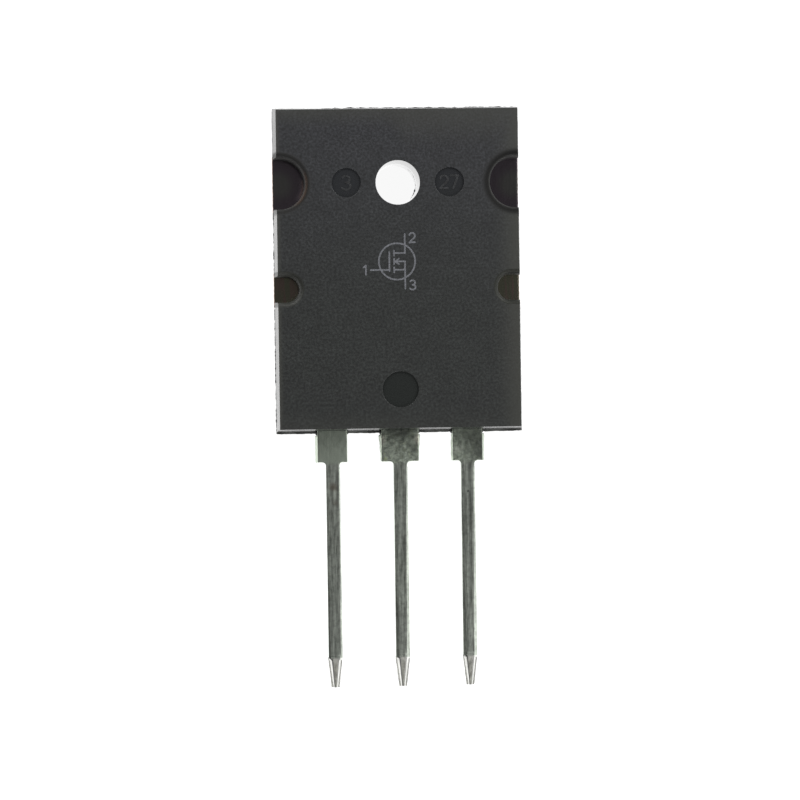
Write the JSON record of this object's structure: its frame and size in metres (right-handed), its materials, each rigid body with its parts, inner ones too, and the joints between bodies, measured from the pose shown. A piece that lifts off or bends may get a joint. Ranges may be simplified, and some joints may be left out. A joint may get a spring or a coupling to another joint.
{
  "type": "power transistor",
  "caption": "Moulded power transistor with a bare metal back, a through mounting hole, side notches and long flat leads with coined tips.",
  "frame": {"origin": "centre of the mounting hole on the seating plane, which is the bare back of the heat sink", "axes": "+Z out of the marked front face, +Y along the body towards the hole end, leads towards -Y, +X to the right when the front is seen with the leads down"},
  "size_m": [0.0198, 0.0466, 0.005],
  "materials": {
    "epoxy": "fine-grained moulding compound, dark grey",
    "leadframe": "copper, plated on the plate and tinned on the lead",
    "tinned_lead": "copper with dull tin plating",
    "silicon": "polished silicon with metal on top",
    "solder": "dull solder",
    "bond_wire": "bright drawn aluminium"
  },
  "bodies": {
    "root": {"moulded_body": "epoxy", "heat_sink": "leadframe", "gate_lead": "tinned_lead", "source_lead": "tinned_lead", "silicon_die": "silicon", "die_solder": "solder", "gate_wire": "bond_wire", "source_wire_1": "bond_wire", "source_wire_2": "bond_wire", "source_wire_3": "bond_wire", "source_wire_4": "bond_wire", "source_wire_5": "bond_wire"}
  },
  "joints": []
}
